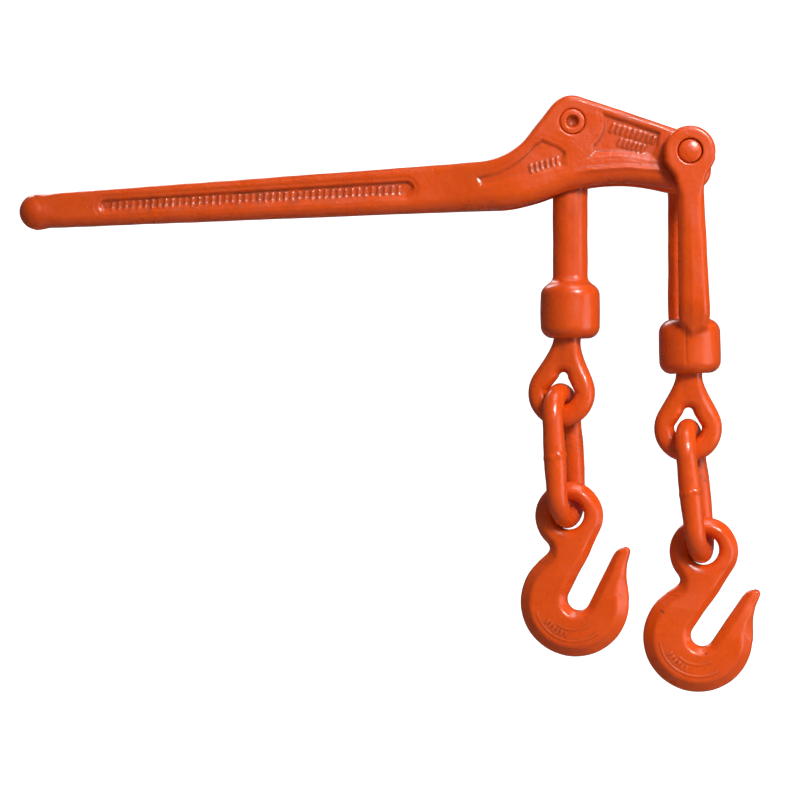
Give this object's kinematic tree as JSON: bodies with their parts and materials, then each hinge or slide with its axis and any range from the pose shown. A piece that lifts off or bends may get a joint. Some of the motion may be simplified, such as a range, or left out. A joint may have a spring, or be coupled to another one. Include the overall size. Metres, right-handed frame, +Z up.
{
  "type": "lever load binder",
  "caption": "Lever-type load binder: a forged lever with a forked head that pulls two chains together through a yoke, a tension link, swivel eyes and grab hooks.",
  "frame": {"origin": "centre of the hand grip on the lever, 45 mm from the knob's end", "axes": "+X along the lever towards the forked head, +Y away from the front face and along the pivot axes, +Z up, so that the hooks hang towards -Z"},
  "size_m": [0.4529, 0.057, 0.3632],
  "materials": {
    "lever_enamel": "glossy orange enamel over a drop forging, with soft highlights and faint scale texture",
    "fitting_enamel": "glossy orange enamel over a forging, with a few rubbed edges",
    "chain_enamel": "glossy orange enamel on welded chain and forged hooks, with small dark chips"
  },
  "bodies": {
    "lever": {"lever": "lever_enamel", "link_pin": "lever_enamel"},
    "tension_link": {"tension_link": "fitting_enamel"},
    "yoke": {"yoke": "fitting_enamel"},
    "left_eye": {"left_swivel_eye": "chain_enamel"},
    "right_eye": {"right_swivel_eye": "chain_enamel"},
    "left_link": {"left_chain_link": "chain_enamel"},
    "right_link": {"right_chain_link": "chain_enamel"},
    "left_hook": {"left_grab_hook": "chain_enamel"},
    "right_hook": {"right_grab_hook": "chain_enamel"}
  },
  "joints": [
    {"name": "yoke_pivot", "type": "hinge", "parent": "lever", "child": "yoke", "pos_m": [0.36183, 0, 0.03236], "axis": [0, -1, 0], "range_deg": [-1, 256]},
    {"name": "link_pivot", "type": "hinge", "parent": "lever", "child": "tension_link", "pos_m": [0.2919, 0, 0.0511], "axis": [0, -1, 0], "range_deg": [-30, 1]},
    {"name": "left_swivel", "type": "hinge", "parent": "tension_link", "child": "left_eye", "pos_m": [0.2919, 0, -0.0626], "axis": [0, 0, 1], "continuous": true},
    {"name": "right_swivel", "type": "hinge", "parent": "yoke", "child": "right_eye", "pos_m": [0.36488, 0, -0.084], "axis": [-0.0262, 0, 0.9997], "continuous": true},
    {"name": "left_link_hinge", "type": "hinge", "parent": "left_eye", "child": "left_link", "pos_m": [0.28513, 0, -0.12699], "axis": [0.956, -0.2756, -0.1005], "range_deg": [-60, 28]},
    {"name": "right_link_hinge", "type": "hinge", "parent": "right_eye", "child": "right_link", "pos_m": [0.36364, 0, -0.14874], "axis": [0.9875, -0.1564, -0.019], "range_deg": [-60, 28]},
    {"name": "left_hook_hinge", "type": "hinge", "parent": "left_link", "child": "left_hook", "pos_m": [0.2903, 0, -0.18915], "axis": [-0.1736, -0.9848, 0], "range_deg": [-45, 8]},
    {"name": "right_hook_hinge", "type": "hinge", "parent": "right_link", "child": "right_hook", "pos_m": [0.37228, 0, -0.21048], "axis": [-0.1036, -0.9945, 0.014], "range_deg": [-5, 60]}
  ]
}
